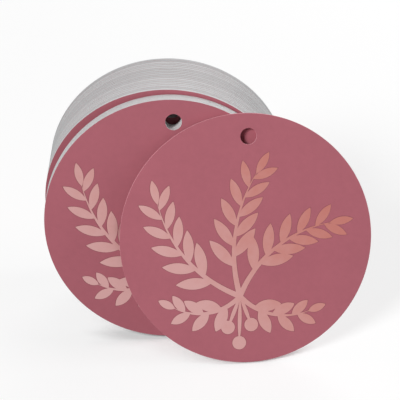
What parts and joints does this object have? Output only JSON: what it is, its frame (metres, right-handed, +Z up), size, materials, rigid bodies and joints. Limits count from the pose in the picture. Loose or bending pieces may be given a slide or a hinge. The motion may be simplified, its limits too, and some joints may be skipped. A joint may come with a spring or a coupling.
{
  "type": "pack of gift tags",
  "caption": "Pack of round card gift tags standing on edge, each with a punched hang hole and a foil sprig ornament; loose tags lean on the stack's face.",
  "frame": {"origin": "on the floor, in the middle of the pack's bounding box", "axes": "+X to the right of the tags' printed faces, +Y from the front tag to the back of the stack, +Z up"},
  "size_m": [0.0666, 0.0378, 0.0508],
  "materials": {
    "card": "matt uncoated card, rose on both faces, white at the cut edge",
    "foil": "rose-gold stamped foil film"
  },
  "bodies": {
    "front_tag": {"front_tag_card": "card", "front_tag_foil": "foil"},
    "leaning_tag_1": {"leaning_tag_1_card": "card", "leaning_tag_1_foil": "foil"},
    "leaning_tag_2": {"leaning_tag_2_card": "card", "leaning_tag_2_foil": "foil"},
    "leaning_tag_3": {"leaning_tag_3_card": "card", "leaning_tag_3_foil": "foil"},
    "leaning_tag_4": {"leaning_tag_4_card": "card", "leaning_tag_4_foil": "foil"},
    "leaning_tag_5": {"leaning_tag_5_card": "card", "leaning_tag_5_foil": "foil"},
    "stack_tag_01": {"stack_tag_01_card": "card", "stack_tag_01_foil": "foil"},
    "stack_tag_02": {"stack_tag_02_card": "card", "stack_tag_02_foil": "foil"},
    "stack_tag_03": {"stack_tag_03_card": "card", "stack_tag_03_foil": "foil"},
    "stack_tag_04": {"stack_tag_04_card": "card", "stack_tag_04_foil": "foil"},
    "stack_tag_05": {"stack_tag_05_card": "card", "stack_tag_05_foil": "foil"},
    "stack_tag_06": {"stack_tag_06_card": "card", "stack_tag_06_foil": "foil"},
    "stack_tag_07": {"stack_tag_07_card": "card", "stack_tag_07_foil": "foil"},
    "stack_tag_08": {"stack_tag_08_card": "card", "stack_tag_08_foil": "foil"},
    "stack_tag_09": {"stack_tag_09_card": "card", "stack_tag_09_foil": "foil"},
    "stack_tag_10": {"stack_tag_10_card": "card", "stack_tag_10_foil": "foil"},
    "stack_tag_11": {"stack_tag_11_card": "card", "stack_tag_11_foil": "foil"},
    "stack_tag_12": {"stack_tag_12_card": "card", "stack_tag_12_foil": "foil"},
    "stack_tag_13": {"stack_tag_13_card": "card", "stack_tag_13_foil": "foil"},
    "stack_tag_14": {"stack_tag_14_card": "card", "stack_tag_14_foil": "foil"},
    "stack_tag_15": {"stack_tag_15_card": "card", "stack_tag_15_foil": "foil"},
    "stack_tag_16": {"stack_tag_16_card": "card", "stack_tag_16_foil": "foil"},
    "stack_tag_17": {"stack_tag_17_card": "card", "stack_tag_17_foil": "foil"},
    "stack_tag_18": {"stack_tag_18_card": "card", "stack_tag_18_foil": "foil"},
    "stack_tag_19": {"stack_tag_19_card": "card", "stack_tag_19_foil": "foil"}
  },
  "joints": [
    {"name": "draw_front_tag", "type": "slide", "parent": "leaning_tag_1", "child": "front_tag", "axis": [0.085, -0.934, 0.3469], "range_m": [0, 0.04]},
    {"name": "draw_leaning_tag_1", "type": "slide", "parent": "leaning_tag_2", "child": "leaning_tag_1", "axis": [0.048, -0.9818, 0.184], "range_m": [0, 0.02]},
    {"name": "draw_leaning_tag_2", "type": "slide", "parent": "leaning_tag_3", "child": "leaning_tag_2", "axis": [0.048, -0.9818, 0.184], "range_m": [0, 0.02]},
    {"name": "draw_leaning_tag_3", "type": "slide", "parent": "leaning_tag_4", "child": "leaning_tag_3", "axis": [0.048, -0.9818, 0.184], "range_m": [0, 0.02]},
    {"name": "draw_leaning_tag_4", "type": "slide", "parent": "leaning_tag_5", "child": "leaning_tag_4", "axis": [0.048, -0.9818, 0.184], "range_m": [0, 0.02]},
    {"name": "draw_leaning_tag_5", "type": "slide", "parent": "stack_tag_01", "child": "leaning_tag_5", "axis": [0.048, -0.9818, 0.184], "range_m": [0, 0.02]},
    {"name": "draw_stack_tag_01", "type": "slide", "parent": "stack_tag_02", "child": "stack_tag_01", "axis": [0, -1, 0], "range_m": [0, 0.01]},
    {"name": "draw_stack_tag_02", "type": "slide", "parent": "stack_tag_03", "child": "stack_tag_02", "axis": [0, -1, 0], "range_m": [0, 0.01]},
    {"name": "draw_stack_tag_03", "type": "slide", "parent": "stack_tag_04", "child": "stack_tag_03", "axis": [0, -1, 0], "range_m": [0, 0.01]},
    {"name": "draw_stack_tag_04", "type": "slide", "parent": "stack_tag_05", "child": "stack_tag_04", "axis": [0, -1, 0], "range_m": [0, 0.01]},
    {"name": "draw_stack_tag_05", "type": "slide", "parent": "stack_tag_06", "child": "stack_tag_05", "axis": [0, -1, 0], "range_m": [0, 0.01]},
    {"name": "draw_stack_tag_06", "type": "slide", "parent": "stack_tag_07", "child": "stack_tag_06", "axis": [0, -1, 0], "range_m": [0, 0.01]},
    {"name": "draw_stack_tag_07", "type": "slide", "parent": "stack_tag_08", "child": "stack_tag_07", "axis": [0, -1, 0], "range_m": [0, 0.01]},
    {"name": "draw_stack_tag_08", "type": "slide", "parent": "stack_tag_09", "child": "stack_tag_08", "axis": [0, -1, 0], "range_m": [0, 0.01]},
    {"name": "draw_stack_tag_09", "type": "slide", "parent": "stack_tag_10", "child": "stack_tag_09", "axis": [0, -1, 0], "range_m": [0, 0.01]},
    {"name": "draw_stack_tag_10", "type": "slide", "parent": "stack_tag_11", "child": "stack_tag_10", "axis": [0, -1, 0], "range_m": [0, 0.01]},
    {"name": "draw_stack_tag_11", "type": "slide", "parent": "stack_tag_12", "child": "stack_tag_11", "axis": [0, -1, 0], "range_m": [0, 0.01]},
    {"name": "draw_stack_tag_12", "type": "slide", "parent": "stack_tag_13", "child": "stack_tag_12", "axis": [0, -1, 0], "range_m": [0, 0.01]},
    {"name": "draw_stack_tag_13", "type": "slide", "parent": "stack_tag_14", "child": "stack_tag_13", "axis": [0, -1, 0], "range_m": [0, 0.01]},
    {"name": "draw_stack_tag_14", "type": "slide", "parent": "stack_tag_15", "child": "stack_tag_14", "axis": [0, -1, 0], "range_m": [0, 0.01]},
    {"name": "draw_stack_tag_15", "type": "slide", "parent": "stack_tag_16", "child": "stack_tag_15", "axis": [0, -1, 0], "range_m": [0, 0.01]},
    {"name": "draw_stack_tag_16", "type": "slide", "parent": "stack_tag_17", "child": "stack_tag_16", "axis": [0, -1, 0], "range_m": [0, 0.01]},
    {"name": "draw_stack_tag_17", "type": "slide", "parent": "stack_tag_18", "child": "stack_tag_17", "axis": [0, -1, 0], "range_m": [0, 0.01]},
    {"name": "draw_stack_tag_18", "type": "slide", "parent": "stack_tag_19", "child": "stack_tag_18", "axis": [0, -1, 0], "range_m": [0, 0.01]}
  ]
}
